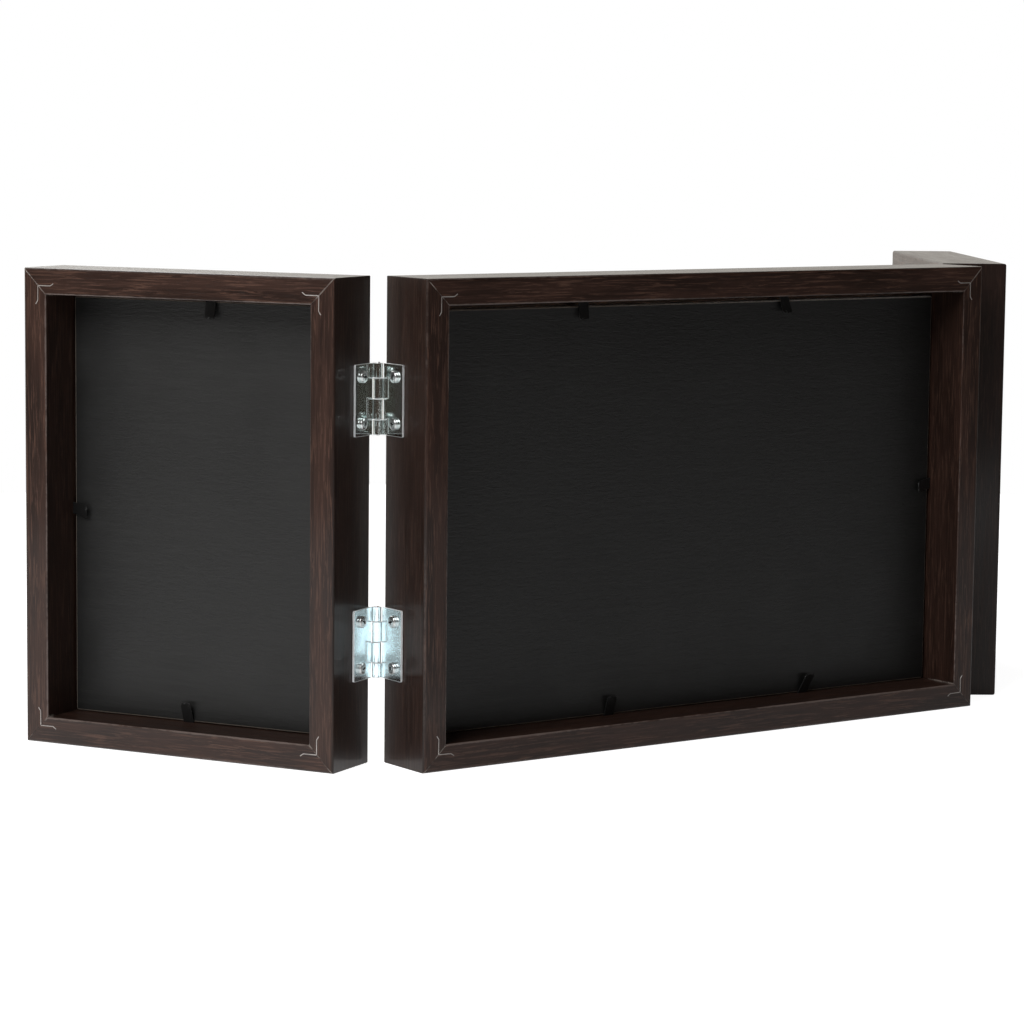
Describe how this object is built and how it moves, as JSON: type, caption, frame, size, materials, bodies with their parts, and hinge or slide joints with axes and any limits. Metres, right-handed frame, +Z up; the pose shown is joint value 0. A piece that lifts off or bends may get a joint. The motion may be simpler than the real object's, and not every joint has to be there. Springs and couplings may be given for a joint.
{
  "type": "trifold photo frame",
  "caption": "Free-standing hinged triptych picture frame with a wide landscape centre and two narrow upright wings, deep mitred wooden box mouldings and boards held by bendable tabs.",
  "frame": {"origin": "on the standing surface, under the middle of the centre panel's underside", "axes": "+Z up; +X to the right as seen from the display side, along the centre panel; +Y towards the back, so the display side faces -Y"},
  "size_m": [0.5121, 0.1642, 0.2],
  "materials": {
    "wood": "dark brown stained wood, satin",
    "glass": "clear float glass",
    "board": "black hardboard, matt",
    "tab": "blackened spring steel, satin",
    "zinc_plate": "bright zinc plate",
    "steel_pin": "drawn steel",
    "plated_screw": "bright zinc plate"
  },
  "bodies": {
    "centre": {"centre_backboard": "board", "centre_bottom_rail": "wood", "centre_glass": "glass", "centre_left_stile": "wood", "centre_right_stile": "wood", "centre_top_rail": "wood", "left_lower_hinge_centre_leaf": "zinc_plate", "left_lower_hinge_centre_lower_screw": "plated_screw", "left_lower_hinge_centre_upper_screw": "plated_screw", "left_lower_hinge_pin": "steel_pin", "left_upper_hinge_centre_leaf": "zinc_plate", "left_upper_hinge_centre_lower_screw": "plated_screw", "left_upper_hinge_centre_upper_screw": "plated_screw", "left_upper_hinge_pin": "steel_pin", "right_lower_hinge_centre_leaf": "zinc_plate", "right_lower_hinge_centre_lower_screw": "plated_screw", "right_lower_hinge_centre_upper_screw": "plated_screw", "right_lower_hinge_pin": "steel_pin", "right_upper_hinge_centre_leaf": "zinc_plate", "right_upper_hinge_centre_lower_screw": "plated_screw", "right_upper_hinge_centre_upper_screw": "plated_screw", "right_upper_hinge_pin": "steel_pin"},
    "left_wing": {"left_lower_hinge_wing_leaf": "zinc_plate", "left_lower_hinge_wing_lower_screw": "plated_screw", "left_lower_hinge_wing_upper_screw": "plated_screw", "left_upper_hinge_wing_leaf": "zinc_plate", "left_upper_hinge_wing_lower_screw": "plated_screw", "left_upper_hinge_wing_upper_screw": "plated_screw", "left_wing_backboard": "board", "left_wing_bottom_rail": "wood", "left_wing_glass": "glass", "left_wing_left_stile": "wood", "left_wing_right_stile": "wood", "left_wing_top_rail": "wood"},
    "right_wing": {"right_lower_hinge_wing_leaf": "zinc_plate", "right_lower_hinge_wing_lower_screw": "plated_screw", "right_lower_hinge_wing_upper_screw": "plated_screw", "right_upper_hinge_wing_leaf": "zinc_plate", "right_upper_hinge_wing_lower_screw": "plated_screw", "right_upper_hinge_wing_upper_screw": "plated_screw", "right_wing_backboard": "board", "right_wing_bottom_rail": "wood", "right_wing_glass": "glass", "right_wing_left_stile": "wood", "right_wing_right_stile": "wood", "right_wing_top_rail": "wood"},
    "centre_bottom_left_tab": {"centre_bottom_left_tab": "tab"},
    "centre_bottom_right_tab": {"centre_bottom_right_tab": "tab"},
    "centre_left_tab": {"centre_left_tab": "tab"},
    "centre_right_tab": {"centre_right_tab": "tab"},
    "centre_top_left_tab": {"centre_top_left_tab": "tab"},
    "centre_top_right_tab": {"centre_top_right_tab": "tab"},
    "left_wing_bottom_tab": {"left_wing_bottom_tab": "tab"},
    "left_wing_hinge_side_tab": {"left_wing_hinge_side_tab": "tab"},
    "left_wing_outer_tab": {"left_wing_outer_tab": "tab"},
    "left_wing_top_tab": {"left_wing_top_tab": "tab"},
    "right_wing_bottom_tab": {"right_wing_bottom_tab": "tab"},
    "right_wing_hinge_side_tab": {"right_wing_hinge_side_tab": "tab"},
    "right_wing_outer_tab": {"right_wing_outer_tab": "tab"},
    "right_wing_top_tab": {"right_wing_top_tab": "tab"}
  },
  "joints": [
    {"name": "left_wing_fold", "type": "hinge", "parent": "centre", "child": "left_wing", "pos_m": [-0.1522, -0.0171, 0.1], "axis": [0, 0, 1], "range_deg": [-49, 123]},
    {"name": "right_wing_fold", "type": "hinge", "parent": "centre", "child": "right_wing", "pos_m": [0.1522, -0.0171, 0.1], "axis": [0, 0, -1], "range_deg": [-54, 118]},
    {"name": "centre_bottom_left_tab_bend", "type": "hinge", "parent": "centre", "child": "centre_bottom_left_tab", "pos_m": [-0.0657, -0.00458, 0.0113], "axis": [-1, 0, 0], "range_deg": [-15, 70]},
    {"name": "centre_bottom_right_tab_bend", "type": "hinge", "parent": "centre", "child": "centre_bottom_right_tab", "pos_m": [0.042, -0.00458, 0.0113], "axis": [-1, 0, 0], "range_deg": [-12, 73]},
    {"name": "centre_left_tab_bend", "type": "hinge", "parent": "centre", "child": "centre_left_tab", "pos_m": [-0.1387, -0.00458, 0.101], "axis": [0, 0, 1], "range_deg": [-12, 73]},
    {"name": "centre_right_tab_bend", "type": "hinge", "parent": "centre", "child": "centre_right_tab", "pos_m": [0.1387, -0.00458, 0.1], "axis": [0, 0, -1], "range_deg": [-10, 75]},
    {"name": "centre_top_left_tab_bend", "type": "hinge", "parent": "centre", "child": "centre_top_left_tab", "pos_m": [-0.0504, -0.00458, 0.1887], "axis": [1, 0, 0], "range_deg": [-14, 71]},
    {"name": "centre_top_right_tab_bend", "type": "hinge", "parent": "centre", "child": "centre_top_right_tab", "pos_m": [0.0582, -0.00458, 0.1887], "axis": [1, 0, 0], "range_deg": [-12, 73]},
    {"name": "left_wing_bottom_tab_bend", "type": "hinge", "parent": "left_wing", "child": "left_wing_bottom_tab", "pos_m": [-0.2061, -0.0771, 0.0113], "axis": [-0.5446, -0.8387, 0], "range_deg": [-12, 73]},
    {"name": "left_wing_hinge_side_tab_bend", "type": "hinge", "parent": "left_wing", "child": "left_wing_hinge_side_tab", "pos_m": [-0.17006, -0.0216, 0.1], "axis": [0, 0, -1], "range_deg": [-10, 75]},
    {"name": "left_wing_outer_tab_bend", "type": "hinge", "parent": "left_wing", "child": "left_wing_outer_tab", "pos_m": [-0.2389, -0.12761, 0.099], "axis": [0, 0, 1], "range_deg": [-11, 74]},
    {"name": "left_wing_top_tab_bend", "type": "hinge", "parent": "left_wing", "child": "left_wing_top_tab", "pos_m": [-0.20286, -0.07211, 0.1887], "axis": [0.5446, 0.8387, 0], "range_deg": [-10, 75]},
    {"name": "right_wing_bottom_tab_bend", "type": "hinge", "parent": "right_wing", "child": "right_wing_bottom_tab", "pos_m": [0.20207, -0.0842, 0.0113], "axis": [-0.4695, 0.8829, 0], "range_deg": [-13, 72]},
    {"name": "right_wing_hinge_side_tab_bend", "type": "hinge", "parent": "right_wing", "child": "right_wing_hinge_side_tab", "pos_m": [0.1696, -0.02314, 0.1], "axis": [0, 0, 1], "range_deg": [-10, 75]},
    {"name": "right_wing_outer_tab_bend", "type": "hinge", "parent": "right_wing", "child": "right_wing_outer_tab", "pos_m": [0.22894, -0.13474, 0.098], "axis": [0, 0, -1], "range_deg": [-14, 71]},
    {"name": "right_wing_top_tab_bend", "type": "hinge", "parent": "right_wing", "child": "right_wing_top_tab", "pos_m": [0.19696, -0.0746, 0.1887], "axis": [0.4695, -0.8829, 0], "range_deg": [-10, 75]}
  ]
}
